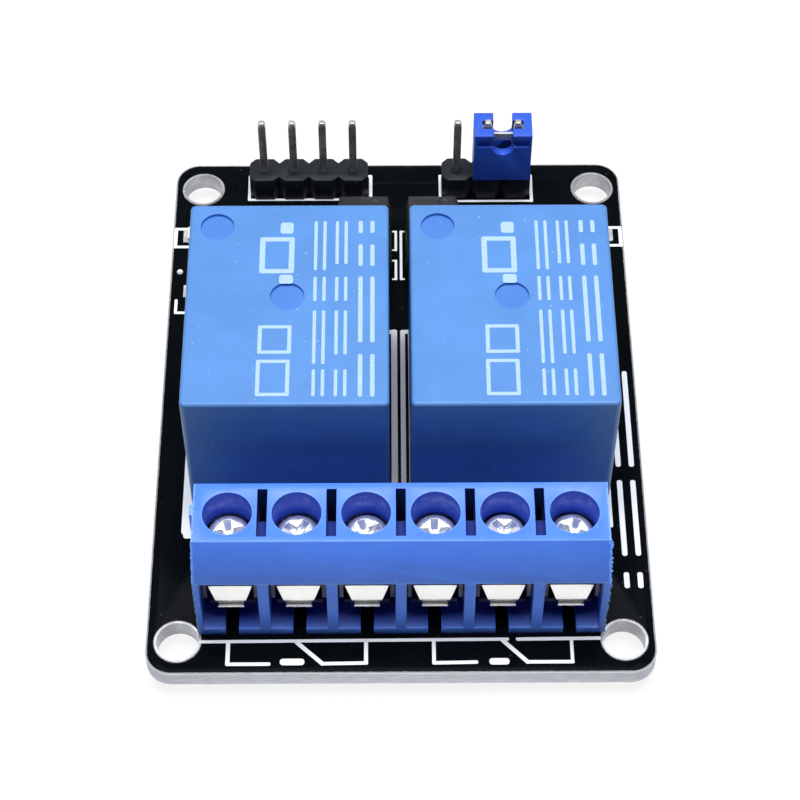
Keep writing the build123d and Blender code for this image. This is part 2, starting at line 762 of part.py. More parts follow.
def jumper_clip():
    """Folded strip: an arched plate in front of both pins, with an ear and a lip round each."""
    bottom = cap_bottom + clip_bottom_gap
    top = cap_bottom + cap_height - cap_roof - clip_clearance
    reach = header_pitch / 2 + clip_outer
    clip = block(cap_x - reach, cap_x + reach, header_y - clip_outer, header_y - clip_inner, bottom, top)
    for x, outward in zip(cap_pins, (-1, 1)):
        ear = sorted((x + outward * clip_inner, x + outward * clip_outer))
        clip += block(ear[0], ear[1], header_y - clip_outer, header_y + clip_outer, bottom, top)
        lip = sorted((x + outward * clip_outer, x - outward * clip_lip))
        clip += block(lip[0], lip[1], header_y + clip_inner, header_y + clip_outer, bottom, top)
    band = top - clip_band_height
    arch = bar(cap_x, header_y - (clip_inner + clip_outer) / 2, clip_arch_width / 2, clip_thickness,
               bottom - clip_bottom_gap, band)
    corners = arch.faces().sort_by(Axis.Z)[-1].edges().filter_by(Axis.Y)
    return clip - fillet(corners, clip_arch_radius)


save(jumper_cap(), "jumper_cap")
save(jumper_clip(), "jumper_clip")


# Small surface parts: each place is its centre, counted from the relays' back faces
chip_places = [
    (-17.0, 3.4), (-12.9, 9.8), (-8.9, 9.8), (8.9, 9.8), (12.9, 9.8), (-3.4, 1.8), (3.4, 1.8),
]
led_places = [(-17.3, 9.6), (17.3, 9.6)]
transistor_places = [(-12.6, 6.2), (12.6, 6.2)]
diode_places = [(-8.6, 5.6), (8.6, 5.6)]


def chip_body(x, y, height):
    end = chip_length / 2 - chip_cap_length
    return block(x - end, x + end, y - chip_width / 2, y + chip_width / 2, board_top + chip_cap_thickness,
                 board_top + height)


def chip_caps(x, y, height):
    caps = []
    for sx in (-1, 1):
        ends = sorted((x + sx * (chip_length / 2 - chip_cap_length), x + sx * chip_length / 2))
        caps.append(block(ends[0], ends[1], y - chip_width / 2, y + chip_width / 2, board_top,
                          board_top + height + chip_cap_thickness))
    return caps


def transistor_body(x, y):
    body = Rectangle(transistor_length, transistor_width)
    body = extrude(body, amount=transistor_height - part_standoff, taper=transistor_draft_angle)
    return Pos(x, y, board_top + part_standoff) * body


def transistor_leads(x, y):
    """Three feet: two on one long side and one on the other."""
    leads = []
    for lx, sy in ((-transistor_lead_spacing / 2, -1), (transistor_lead_spacing / 2, -1), (0, 1)):
        root = y + sy * transistor_width / 2
        ends = sorted((root, root + sy * transistor_lead_reach))
        half = transistor_lead_width / 2
        leads.append(block(x + lx - half, x + lx + half, ends[0], ends[1], board_top,
                           board_top + part_standoff + transistor_lead_thickness))
    return leads


def diode_body(x, y):
    body = Rectangle(diode_length, diode_width)
    body = extrude(body, amount=diode_height - part_standoff, taper=diode_draft_angle)
    return Pos(x, y, board_top + part_standoff) * body


def diode_tabs(x, y):
    tabs = []
    for sx in (-1, 1):
        root = x + sx * diode_length / 2
        ends = sorted((root, root + sx * diode_tab_reach))
        half = diode_tab_width / 2
        top = board_top + part_standoff + diode_tab_thickness
        tabs.append(block(ends[0], ends[1], y - half, y + half, board_top, top))
    return tabs


behind = [(x, relay_back + y) for x, y in chip_places]
led_centres = [(x, relay_back + y) for x, y in led_places]
transistor_centres = [(x, relay_back + y) for x, y in transistor_places]
diode_centres = [(x, relay_back + y) for x, y in diode_places]
end_caps = [cap for x, y in behind for cap in chip_caps(x, y, chip_height)]
end_caps += [cap for x, y in led_centres for cap in chip_caps(x, y, led_cap_height)]
metal_feet = [foot for x, y in transistor_centres for foot in transistor_leads(x, y)]
metal_feet += [tab for x, y in diode_centres for tab in diode_tabs(x, y)]
save(Compound([chip_body(x, y, chip_height) for x, y in behind]), "chip_resistors")
save(Compound([chip_body(x, y, led_height) for x, y in led_centres]), "indicator_leds")
save(Compound(end_caps), "chip_end_caps")
save(Compound([transistor_body(x, y) for x, y in transistor_centres]), "transistors")
save(Compound([diode_body(x, y) for x, y in diode_centres]), "flyback_diodes")
save(Compound(metal_feet), "surface_part_feet")
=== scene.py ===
import json
import math

import bmesh
import bpy
from mathutils import Matrix, Vector

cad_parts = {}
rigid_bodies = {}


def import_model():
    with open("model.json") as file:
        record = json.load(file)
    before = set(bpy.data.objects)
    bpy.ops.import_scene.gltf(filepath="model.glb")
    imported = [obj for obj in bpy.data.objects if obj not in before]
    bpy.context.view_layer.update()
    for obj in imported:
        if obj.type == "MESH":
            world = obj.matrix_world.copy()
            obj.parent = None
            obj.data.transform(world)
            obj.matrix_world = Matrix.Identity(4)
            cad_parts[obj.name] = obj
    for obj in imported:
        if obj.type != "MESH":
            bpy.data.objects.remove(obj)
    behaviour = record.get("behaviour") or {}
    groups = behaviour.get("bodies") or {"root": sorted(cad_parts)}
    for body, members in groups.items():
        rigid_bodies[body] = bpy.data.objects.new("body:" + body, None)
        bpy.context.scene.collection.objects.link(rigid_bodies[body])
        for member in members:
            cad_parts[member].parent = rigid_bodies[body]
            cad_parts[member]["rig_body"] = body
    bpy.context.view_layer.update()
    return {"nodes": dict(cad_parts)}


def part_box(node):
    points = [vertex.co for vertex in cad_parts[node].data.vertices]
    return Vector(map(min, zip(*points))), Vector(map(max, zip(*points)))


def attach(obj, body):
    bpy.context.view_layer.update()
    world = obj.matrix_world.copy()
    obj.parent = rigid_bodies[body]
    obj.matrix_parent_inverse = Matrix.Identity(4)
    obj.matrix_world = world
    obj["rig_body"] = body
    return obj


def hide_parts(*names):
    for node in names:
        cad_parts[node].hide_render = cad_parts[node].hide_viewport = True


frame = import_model()


# Camera: it stands in front of the board and well above it, on a long lens, where the photographer's stood.
# Place, turn and lens come from the pin pitch, the terminal pitch and the four holes, with no shift.
camera_data = bpy.data.cameras.new("photographer")
camera_data.lens = 102.07
camera_data.sensor_width = 36.0
camera_data.clip_start = 0.01
camera = bpy.data.objects.new("photographer", camera_data)
bpy.context.collection.objects.link(camera)
camera.location = (-0.000787, -0.107397, 0.152517)
camera.rotation_euler = (0.6226356, -0.0012769, -0.0060460)
bpy.context.scene.camera = camera


# Studio: one large soft lamp hangs above and a little behind the board, so that the tops shine and the fronts
# stay deep. A weak lamp in front fills the shadows, and the room itself gives an even, low light.
def soft_lamp(name, place, aim, width, depth, power):
    """A rectangular studio lamp at a place, turned towards a point."""
    data = bpy.data.lights.new(name, "AREA")
    data.shape = "RECTANGLE"
    data.size, data.size_y, data.energy = width, depth, power
    lamp = bpy.data.objects.new(name, data)
    bpy.context.collection.objects.link(lamp)
    lamp.location = place
    lamp.rotation_euler = (Vector(aim) - Vector(place)).to_track_quat("-Z", "Y").to_euler()


def add(tree, kind, *values, **named):
    """Adds a node. Values and other nodes go to its inputs, in order or by name, and the rest set it up."""
    made = tree.nodes.new(kind)
    for key, value in [*enumerate(values), *named.items()]:
        if isinstance(key, str) and key in made.bl_rna.properties:
            setattr(made, key, value)
            continue
        socket = made.inputs[key.replace("_", " ") if isinstance(key, str) else key]
        if isinstance(value, bpy.types.Node):
            value = value.outputs[0]
        if isinstance(value, bpy.types.NodeSocket):
            tree.links.new(value, socket)
        else:
            socket.default_value = value
    return made


def maths(tree, operation, *values):
    """One step of arithmetic on numbers and patterns."""
    return add(tree, "ShaderNodeMath", *values, operation=operation)


def ramp(tree, value, start, end, first=0.0, last=1.0):
    """Runs from a first to a last value while another goes from start to end, and is level outside them."""
    return add(tree, "ShaderNodeMapRange", value, start, end, first, last)


def seen_directly(tree):
    """1 for what is seen straight, in a reflection or through glass, and 0 for what only lights a piece."""
    rays = add(tree, "ShaderNodeLightPath").outputs
    straight_or_reflected = maths(tree, "MAXIMUM", rays["Is Camera Ray"], rays["Is Glossy Ray"])
    return maths(tree, "MAXIMUM", straight_or_reflected, rays["Is Transmission Ray"])


soft_lamp(
    "overhead_lamp", place=(0.0, 0.018, 0.46), aim=(0, 0, 0.01), width=0.30, depth=0.28, power=2.95)
soft_lamp(
    "front_fill_lamp", place=(-0.25, -0.50, 0.26), aim=(0, 0, 0.005), width=0.35, depth=0.30, power=0.012)

room_light, white_backdrop = 0.025, 1.0
bpy.context.scene.view_settings.view_transform = "Standard"
world = bpy.data.worlds.new("studio_room")
bpy.context.scene.world = world
world.use_nodes = True
tree = world.node_tree
room = tree.nodes["Background"]
room.inputs["Color"].default_value = (1.0, 1.0, 1.0, 1.0)
room_level = ramp(tree, seen_directly(tree), 0.0, 1.0, room_light, white_backdrop)
tree.links.new(room_level.outputs[0], room.inputs["Strength"])


# Floor: a plain sheet of white card under the trimmed lead tips, wide enough to fill every view. It keeps the
# board's soft shadow. Close to the board it throws its light back on the cut edges, and further out it throws
# little, so that the fronts stay deep.
def object_place(tree):
    """A point's own place on its piece, which its patterns follow."""
    return add(tree, "ShaderNodeTexCoord").outputs["Object"]


def material(name, colour, roughness, **sockets):
    """A new material with its shader set, and the place that its patterns follow."""
    made = bpy.data.materials.new(name)
    made.use_nodes = True
    tree = made.node_tree
    shader = tree.nodes["Principled BSDF"]
    shader.inputs["Base Color"].default_value = colour
    shader.inputs["Roughness"].default_value = roughness
    for key, value in sockets.items():
        shader.inputs[key.replace("_", " ")].default_value = value
    return made, tree, shader, object_place(tree)


card_shade, card_glow = (0.16, 0.16, 0.16, 1), 0.88
near_reach, far_reach, near_bounce, far_bounce = 0.030, 0.060, 0.95, 0.22
bpy.ops.object.select_all(action="DESELECT")
bpy.ops.mesh.primitive_plane_add(size=6.0, location=(0, 0, 0))
floor = bpy.context.object
floor.name = "white_card_floor"
card, tree, shown, place = material(
    "white_card", card_shade, 1.0, Specular_IOR_Level=0.0,
    Emission_Color=(1.0, 1.0, 1.0, 1), Emission_Strength=card_glow)
from_middle = add(tree, "ShaderNodeVectorMath", place, operation="LENGTH").outputs["Value"]
bounce = ramp(tree, from_middle, near_reach, far_reach, near_bounce, far_bounce)
thrown = add(tree, "ShaderNodeBsdfDiffuse", bounce)
choice = add(tree, "ShaderNodeMixShader", seen_directly(tree), thrown, shown)
tree.links.new(choice.outputs[0], tree.nodes["Material Output"].inputs["Surface"])
floor.data.materials.append(card)


# Circuit board: glass-fibre laminate 1.6 mm thick, black solder mask on both faces and bare at its cut edges.
# It is routed to a rounded outline; the mask stops just short of it, and it is drilled at four corners.
def tone(red, green, blue):
    """A colour as it reads on a screen, 0 to 255, on Blender's own scale."""
    shares = [level / 255 for level in (red, green, blue)]
    return (*(s / 12.92 if s <= 0.04045 else ((s + 0.055) / 1.055) ** 2.4 for s in shares), 1)


def axes(tree, place):
    """The x, y and z of a place or a direction."""
    return list(add(tree, "ShaderNodeSeparateXYZ", place).outputs)


def facing(tree, axis):
    """How squarely a face looks along an axis, either way: 1 straight along it, 0 across it."""
    normal = add(tree, "ShaderNodeNewGeometry").outputs["Normal"]
    return maths(tree, "ABSOLUTE", axes(tree, normal)[axis])


def distance(tree, first, second):
    """How far a point lies from where two measures are both 0."""
    gap = add(tree, "ShaderNodeCombineXYZ", first, second, 0.0)
    return add(tree, "ShaderNodeVectorMath", gap, operation="LENGTH").outputs["Value"]


def falling(tree, value, start, end):
    """1 up to a start, falling to 0 at an end."""
    return ramp(tree, value, start, end, 1.0, 0.0)


def noise(tree, place, per_metre, detail):
    """An uneven cloudy pattern, around 0.5."""
    return add(tree, "ShaderNodeTexNoise", Vector=place, Scale=per_metre, Detail=detail)


def blotches(tree, place, size, low, high, detail=3.0, thin=0.35, thick=0.65):
    """A cloudy pattern of one size in metres, running from low to high."""
    return ramp(tree, noise(tree, place, 1 / size, detail), thin, thick, low, high)


def specks(tree, place, per_metre, cover, strength):
    """Grains of dust, where a fine pattern rises above its cover."""
    return ramp(tree, noise(tree, place, per_metre, 1.0), cover, cover + 0.02, 0.0, strength)


def mixed(tree, amount, first, second):
    """One colour where amount is 0 and the other where it is 1."""
    return add(tree, "ShaderNodeMixRGB", Fac=amount, Color1=first, Color2=second)


def relief(tree, shader, height, depth):
    """A height pattern on a material's surface, its depth in metres."""
    bump = add(tree, "ShaderNodeBump", Height=height, Distance=depth, Strength=1.0)
    tree.links.new(bump.outputs[0], shader.inputs["Normal"])


def finished(piece, finish):
    """Gives a piece one finish all over."""
    piece.data.materials.clear()
    piece.data.materials.append(finish)
    for face in piece.data.polygons:
        face.material_index = 0


def eased(node, finish, width):
    """A copy of a CAD node with its sharp edges rounded, which stands in the node's place."""
    source = frame["nodes"][node]
    piece = bpy.data.objects.new(f"{node}_eased", source.data.copy())
    bpy.context.collection.objects.link(piece)
    bpy.ops.object.select_all(action="DESELECT")
    bpy.context.view_layer.objects.active = piece
    piece.select_set(True)
    bpy.ops.object.mode_set(mode="EDIT")
    bpy.ops.mesh.select_all(action="SELECT")
    bpy.ops.mesh.remove_doubles(threshold=2e-6)
    bpy.ops.mesh.dissolve_limited(angle_limit=math.radians(0.6))
    bpy.ops.object.mode_set(mode="OBJECT")
    rounding = piece.modifiers.new("eased_edges", "BEVEL")
    rounding.width, rounding.segments = width, 2
    rounding.limit_method, rounding.angle_limit = "ANGLE", math.radians(38)
    rounding.use_clamp_overlap = True
    bpy.ops.object.modifier_apply(modifier="eased_edges")
    bpy.ops.object.shade_smooth_by_angle(angle=math.radians(34))
    finished(piece, finish)
    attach(piece, source["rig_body"])
    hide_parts(node)
    return piece


board_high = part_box("circuit_board")[1]
board_half_width, board_half_length, board_corner = board_high.x, board_high.y, 0.002
hole_x, hole_y, hole_radius = 0.01685, 0.02245, 0.0016
bare_strip, strip_fade, strip_wander = 0.00013, 0.00003, 0.000015
bare_ring, ring_fade = 0.00020, 0.00006
wall_slope, face_slope, bare_roughness = 0.80, 0.88, 0.75
glass_layers = (900.0, 900.0, 9000.0)
laminate_grey, laminate_white, dim_laminate_facing_up = tone(214, 219, 228), tone(245, 249, 255), tone(154, 156, 161)
mask_deep, mask_pale = tone(6, 10, 13), tone(10, 14, 18)
mask_dust, hole_edge = tone(145, 148, 154), tone(108, 103, 78)

board_finish, tree, shader, place = material(
    "black_solder_mask", tone(13, 14, 17), 0.2, Specular_IOR_Level=0.012)
x, y = axes(tree, place)[:2]
across, along = maths(tree, "ABSOLUTE", x), maths(tree, "ABSOLUTE", y)
over_x = maths(tree, "SUBTRACT", across, board_half_width - board_corner)
over_y = maths(tree, "SUBTRACT", along, board_half_length - board_corner)
outward = distance(tree, maths(tree, "MAXIMUM", over_x, 0.0), maths(tree, "MAXIMUM", over_y, 0.0))
inward = maths(tree, "MINIMUM", maths(tree, "MAXIMUM", over_x, over_y), 0.0)
from_edge = maths(tree, "SUBTRACT", board_corner, maths(tree, "ADD", outward, inward))
wander = blotches(tree, place, 0.0005, -strip_wander, strip_wander, detail=4.0)
strip = falling(tree, maths(tree, "ADD", from_edge, wander), bare_strip, bare_strip + strip_fade)
side_wall = falling(tree, facing(tree, axis=2), wall_slope, face_slope)
bare = maths(tree, "MAXIMUM", strip, side_wall)
from_hole_x, from_hole_y = maths(tree, "SUBTRACT", across, hole_x), maths(tree, "SUBTRACT", along, hole_y)
from_hole = maths(tree, "SUBTRACT", distance(tree, from_hole_x, from_hole_y), hole_radius)
ring = falling(tree, from_hole, bare_ring, bare_ring + ring_fade)

weave = noise(tree, add(tree, "ShaderNodeMapping", place, Scale=glass_layers), 1.0, detail=4.0)
laminate = mixed(tree, ramp(tree, weave, 0.30, 0.65), laminate_grey, laminate_white)
mask = mixed(tree, blotches(tree, place, 0.004, 0.0, 1.0), mask_deep, mask_pale)
dust = specks(tree, place, per_metre=5200.0, cover=0.78, strength=0.55)
mask = mixed(tree, dust, mask, mask_dust)
mask = mixed(tree, ring, mask, hole_edge)
# Painted light: the bare laminate is painted near white on the upright cut walls and a dimmer grey where the
# bare strip faces up, so that the walls read bright with little lamp on them.
laminate_painted_by_facing = mixed(tree, side_wall, dim_laminate_facing_up, laminate)
tree.links.new(mixed(tree, bare, mask, laminate_painted_by_facing).outputs[0], shader.inputs["Base Color"])
polish = blotches(tree, place, 0.003, 0.16, 0.26)
dull_where_bare = maths(tree, "MAXIMUM", polish, maths(tree, "MULTIPLY", bare, bare_roughness))
tree.links.new(dull_where_bare.outputs[0], shader.inputs["Roughness"])
relief(tree, shader, noise(tree, place, 2600.0, detail=2.0), depth=0.000006)
eased("circuit_board", board_finish, width=0.00008)


# Printed lines: white ink screened on the mask. They frame the connectors, relays and small parts, and draw a
# changeover contact in front of each half of the terminal block, with a short plain bar beside each.
def alone(primitive, **measures):
    """Adds a primitive with nothing else selected, and puts its place and turn into its mesh."""
    bpy.ops.object.select_all(action="DESELECT")
    primitive(**measures)
    bpy.ops.object.transform_apply(location=True, rotation=True, scale=True)
    return bpy.context.object


def pick(piece, kind, wanted):
    """Opens a piece in edit mode with only its wanted edges or faces selected."""
    bpy.ops.object.mode_set(mode="EDIT")
    bpy.ops.mesh.select_mode(type=kind)
    bpy.ops.mesh.select_all(action="DESELECT")
    edit = bmesh.from_edit_mesh(piece.data)
    for part in edit.faces if kind == "FACE" else edit.edges:
        part.select_set(wanted(part))
    bmesh.update_edit_mesh(piece.data)


def plate(low, high, corner=0.0, turn=0.0):
    """A flat plate between two corners, its upright edges rounded and the whole turned about its centre."""
    size = [b - a for a, b in zip(low, high)]
    middle = [(a + b) / 2 for a, b in zip(low, high)]
    piece = alone(bpy.ops.mesh.primitive_cube_add, size=1, location=middle, rotation=(0, 0, turn), scale=size)
    if corner:
        pick(piece, "EDGE", lambda edge: abs(edge.verts[0].co.z - edge.verts[1].co.z) > size[2] / 2)
        bpy.ops.mesh.bevel(offset=corner, segments=3, affect="EDGES")
        bpy.ops.object.mode_set(mode="OBJECT")
    return piece


def joined(name, parts, finish, body):
    """Makes one piece of several, finished alike, riding on a body."""
    bpy.ops.object.select_all(action="DESELECT")
    for part in parts:
        part.select_set(True)
    bpy.context.view_layer.objects.active = parts[0]
    if len(parts) > 1:
        bpy.ops.object.join()
    piece = bpy.context.object
    piece.name = name
    piece.data.name = name
    finished(piece, finish)
    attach(piece, body)
    return piece


def drawn_line(start, end, width, floor_z, thickness):
    """A printed line with round ends, from its end points in millimetres from the middle of the front edge.
    Each is laid on a little thicker or thinner, so that two which cross share no face."""
    (x0, y0), (x1, y1) = start, end
    span = math.dist(start, end) + width
    middle_x, middle_y = (x0 + x1) / 2, (y0 + y1) / 2 - 1000 * board_half_length
    uneven = math.modf(abs(x0 * 3.7 + y0 * 1.3 + x1 * 5.1 + y1 * 2.9))[0]
    thickness *= 1 + 0.3 * uneven
    low = ((middle_x - span / 2) / 1000, (middle_y - width / 2) / 1000, floor_z)
    high = ((middle_x + span / 2) / 1000, (middle_y + width / 2) / 1000, floor_z + thickness)
    return plate(low, high, corner=0.42 * width / 1000, turn=math.atan2(y1 - y0, x1 - x0))


def ink(name, colour, fresh, worn, per_metre, levels, wear, depth, roughness):
    """A screened ink, worn by a share of wear where a fine grain rises through two levels."""
    made, tree, shader, place = material(name, colour, roughness, Specular_IOR_Level=0.3)
    grain = noise(tree, place, per_metre, detail=3.0)
    worn_spots = ramp(tree, grain, *levels, 0.0, wear)
    tree.links.new(mixed(tree, worn_spots, fresh, worn).outputs[0], shader.inputs["Base Color"])
    relief(tree, shader, grain, depth)
    return made


white_ink = ink(
    "printed_white_ink", tone(240, 243, 247), fresh=tone(242, 245, 249), worn=tone(120, 124, 132),
    per_metre=9000.0, levels=(0.66, 0.72), wear=0.55, depth=0.000004, roughness=0.45)
ink_thickness, ink_sunk = 0.00002, 0.000002
front_lines = [((-15.10, 2.76), (8.00, 2.88), 0.27), ((8.80, 2.87), (14.92, 2.93), 0.29)]
left_contact = [
    ((-13.02, 2.70), (-13.02, 0.84), 0.32), ((-13.02, 0.83), (-9.93, 0.83), 0.29),
    ((-7.86, 2.68), (-5.90, 0.84), 0.33), ((-5.90, 0.84), (-2.62, 0.89), 0.29),
    ((-2.64, 0.89), (-2.64, 2.74), 0.30),
]
right_contact = [
    ((2.46, 2.80), (2.46, 0.87), 0.28), ((2.46, 0.87), (5.62, 0.92), 0.29),
    ((7.66, 2.77), (9.47, 0.92), 0.33), ((9.47, 0.92), (12.84, 0.92), 0.29),
    ((12.84, 0.92), (12.84, 2.86), 0.25),
]
header_frames = [
    ((-12.86, 46.50), (-12.86, 49.15), 0.25), ((-12.86, 46.50), (-2.36, 46.50), 0.25),
    ((-2.36, 46.50), (-2.36, 49.15), 0.28), ((-12.86, 49.15), (-2.36, 49.15), 0.25),
    ((3.66, 46.27), (3.66, 49.15), 0.22), ((3.66, 46.27), (11.56, 46.27), 0.22),
    ((11.56, 46.27), (11.56, 49.15), 0.27), ((3.66, 49.15), (11.56, 49.15), 0.25),
]
optocoupler_brackets = [
    ((-0.21, 42.86), (-0.21, 40.81), 0.22), ((-0.21, 42.86), (-0.46, 42.86), 0.16),
    ((-0.21, 40.81), (-0.46, 40.81), 0.16), ((-0.21, 39.66), (-0.21, 37.65), 0.22),
    ((-0.21, 39.66), (-0.46, 39.66), 0.16), ((-0.21, 37.65), (-0.46, 37.65), 0.16),
    ((0.23, 42.86), (0.23, 37.65), 0.22), ((0.21, 42.86), (0.46, 42.86), 0.16),
    ((0.21, 37.65), (0.46, 37.65), 0.16),
]
relay_frames = [
    ((-0.40, 32.05), (-0.40, 12.40), 0.50), ((0.305, 32.05), (0.305, 12.40), 0.40),
    ((0.925, 32.05), (0.925, 12.40), 0.34), ((-16.62, 32.05), (-16.62, 12.65), 0.86),
    ((16.45, 32.05), (16.45, 12.95), 0.30), ((-16.62, 12.20), (14.90, 12.20), 0.50),
    ((-16.62, 32.05), (-0.40, 32.05), 0.40), ((0.305, 32.05), (16.45, 32.05), 0.40),
]
left_corner_mark = [((-18.62, 35.45), (-18.62, 34.15), 0.25), ((-18.62, 34.15), (-17.00, 34.15), 0.25)]
side_brackets = [
    bracket for side in (-1, 1) for bracket in (
        ((side * 19.0, 43.22), (side * 16.2, 43.22), 0.27),
        ((side * 19.0, 41.25), (side * 16.2, 41.25), 0.27),
        ((side * 19.0, 43.22), (side * 19.0, 41.25), 0.30))
]
right_edge_pairs = [
    ((x, first), (x, last), 0.42)
    for first, last in ((7.5, 8.5), (10.4, 17.0), (18.7, 27.7)) for x in (17.35, 18.40)
]
short_bars = [((-8.82, 1.00), (-7.53, 1.00), 0.56), ((6.88, 0.975), (7.84, 0.975), 0.55)]
board_ink = [
    *front_lines, *left_contact, *right_contact, *header_frames, *optocoupler_brackets, *relay_frames,
    *left_corner_mark, *side_brackets, *right_edge_pairs, *short_bars,
]
strokes = [drawn_line(*stroke, board_high.z - ink_sunk, ink_thickness) for stroke in board_ink]
joined("printed_board_lines", strokes, white_ink, "root")


# Plating: thin tinned copper laid on the walls of the four mounting holes, a little cloudy where it has aged.
# One small plated hole joins the board's two faces near its left edge.
def metal(name, colour, polish, grain, depth, dark=0.75, metallic=1.0):
    """A metal with a cloudy polish and a fine uneven surface."""
    made, tree, shader, place = material(name, colour, polish[0], Metallic=metallic)
    dull = tuple(c * dark for c in colour[:3]) + (1,)
    clouds = blotches(tree, place, grain * 3, 0.0, 1.0)
    tree.links.new(mixed(tree, clouds, colour, dull).outputs[0], shader.inputs["Base Color"])
    tree.links.new(blotches(tree, place, grain, *polish).outputs[0], shader.inputs["Roughness"])
    relief(tree, shader, noise(tree, place, 1 / grain, detail=4.0), depth)
    return made


def dress(finish, *nodes):
    """Gives CAD nodes a finish in place of the plain one that they came with."""
    for node in nodes:
        finished(frame["nodes"][node], finish)


tinned_plating = metal(
    "tinned_plating", tone(172, 174, 180), polish=(0.24, 0.38), grain=0.0006, depth=0.000006, dark=0.66)
dress(tinned_plating, "mounting_hole_liners")
via_x, via_y, via_radius, via_height = -0.01845, 0.01325, 0.00026, 0.00004
via_rim, via_hollow = 0.00014, 0.00003
via = alone(
    bpy.ops.mesh.primitive_cylinder_add, vertices=32, radius=via_radius, depth=via_height,
    location=(via_x, via_y, board_high.z + via_height / 2 - ink_sunk))
pick(via, "FACE", lambda face: face.normal.z > 0.9)
bpy.ops.mesh.inset(thickness=via_rim)
bpy.ops.transform.translate(value=(0, 0, -via_hollow))
bpy.ops.object.mode_set(mode="OBJECT")
joined("plated_via", [via], tinned_plating, "root")


# Solder: each lead is soldered under the board with a smooth cone that creeps up the lead. One cone is shaped
# by drawing a round pad down in steps, and copied to every joint at that joint's own width and height.
def drawn_out(piece, steps):
    """Draws a flat disc out into a turned shape, in steps of a rise and a change of width, and closes it."""
    bpy.ops.object.mode_set(mode="EDIT")
    bpy.ops.mesh.select_all(action="SELECT")
    for rise, size in steps:
        bpy.ops.mesh.extrude_region_move(TRANSFORM_OT_translate={"value": (0, 0, rise)})
        bpy.ops.transform.resize(value=(size, size, 1.0))
    bpy.ops.mesh.select_all(action="SELECT")
    bpy.ops.mesh.normals_make_consistent(inside=False)
    bpy.ops.object.mode_set(mode="OBJECT")
    return piece


bright_solder = metal("bright_solder", tone(214, 216, 220), polish=(0.14, 0.30), grain=0.0005, depth=0.000020)
cone_steps = ((-0.06, 0.97), (-0.14, 0.80), (-0.20, 0.80), (-0.25, 0.86), (-0.22, 0.90), (-0.13, 0.72))
joint_mesh = bmesh.new()
joint_mesh.from_mesh(frame["nodes"]["solder_joints"].data)
bmesh.ops.remove_doubles(joint_mesh, verts=joint_mesh.verts, dist=2e-6)
waiting, joints = set(joint_mesh.verts), []
while waiting:
    island, border = set(), [waiting.pop()]
    while border:
        corner = border.pop()
        island.add(corner.co.copy().freeze())
        for edge in corner.link_edges:
            other = edge.other_vert(corner)
            if other in waiting:
                waiting.discard(other)
                border.append(other)
    joints.append([(min(c[axis] for c in island), max(c[axis] for c in island)) for axis in range(3)])
joint_mesh.free()
joints.sort()

first_cone = drawn_out(
    alone(bpy.ops.mesh.primitive_circle_add, vertices=28, radius=1.0, fill_type="NGON"), cone_steps)
cones = []
for (x0, x1), (y0, y1), (z0, z1) in joints:
    cone = bpy.data.objects.new("solder_cone", first_cone.data.copy())
    bpy.context.collection.objects.link(cone)
    pad_middle = Vector(((x0 + x1) / 2, (y0 + y1) / 2, z1))
    pad_size = Vector(((x1 - x0) / 2, (y1 - y0) / 2, z1 - z0))
    cone.data.transform(Matrix.LocRotScale(pad_middle, None, pad_size))
    cones.append(cone)
bpy.data.objects.remove(first_cone)
solder_cones = joined("solder_cones", cones, bright_solder, "root")
for face in solder_cones.data.polygons:
    face.use_smooth = True
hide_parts("solder_joints")


# Terminal block: one moulding in mid-blue nylon with a slight sheen, six wire windows in front, six round
# wells above the screws and a slot between each two poles. Mould flash is left at its two ends.
def moulded(name, colour, polish, grain, depth, haze=0.0, shine=0.5):
    """A moulded plastic with faint flow marks, fine texture and a little dust."""
    made, tree, shader, place = material(name, colour, polish[0], Specular_IOR_Level=shine)
    paler = tuple(min(1, c * 1.05 + 0.002) for c in colour[:3]) + (1,)
    deeper = tuple(c * 0.95 for c in colour[:3]) + (1,)
    body = mixed(tree, blotches(tree, place, 0.0035, 0.0, 1.0), deeper, paler)
    dust = specks(tree, place, per_metre=4300.0, cover=0.79, strength=haze)
    dusty = mixed(tree, dust, body, tone(225, 232, 245))
    tree.links.new(dusty.outputs[0], shader.inputs["Base Color"])
    tree.links.new(blotches(tree, place, 0.0012, *polish).outputs[0], shader.inputs["Roughness"])
    relief(tree, shader, noise(tree, place, 1 / grain, detail=3.0), depth)
    return made


def overlaid(finish, mask, colour, share=1.0):
    """Lays a colour over a finish by a share, where a mask is 1."""
    tree = finish.node_tree
    socket = tree.nodes["Principled BSDF"].inputs["Base Color"]
    amount = maths(tree, "MULTIPLY", mask, share)
    tree.links.new(mixed(tree, amount, socket.links[0].from_socket, colour).outputs[0], socket)


def product(tree, first, *others):
    """Several masks multiplied, which leaves only what they share."""
    for other in others:
        first = maths(tree, "MULTIPLY", first, other)
    return first


def strongest(tree, first, *others):
    """Several masks side by side, the strongest of them at each point."""
    for other in others:
        first = maths(tree, "MAXIMUM", first, other)
    return first


def near(tree, first, second, reach, fade):
    """1 where two distances, taken together, stay within reach, falling to 0 over the fade."""
    return falling(tree, distance(tree, first, second), reach, reach + fade)


def between(tree, value, low, high, fade=0.00002):
    """1 where a value lies between two limits, falling to 0 over the fade on either side."""
    return product(tree, ramp(tree, value, low - fade, low), falling(tree, value, high, high + fade))


def cut_out(piece, cutter, name):
    """Cuts a shape out of a piece, and takes the shape away."""
    cut = piece.modifiers.new(name, "BOOLEAN")
    cut.operation, cut.solver, cut.object = "DIFFERENCE", "EXACT", cutter
    bpy.ops.object.select_all(action="DESELECT")
    bpy.context.view_layer.objects.active = piece
    piece.select_set(True)
    bpy.ops.object.modifier_apply(modifier=name)
    bpy.data.objects.remove(cutter)


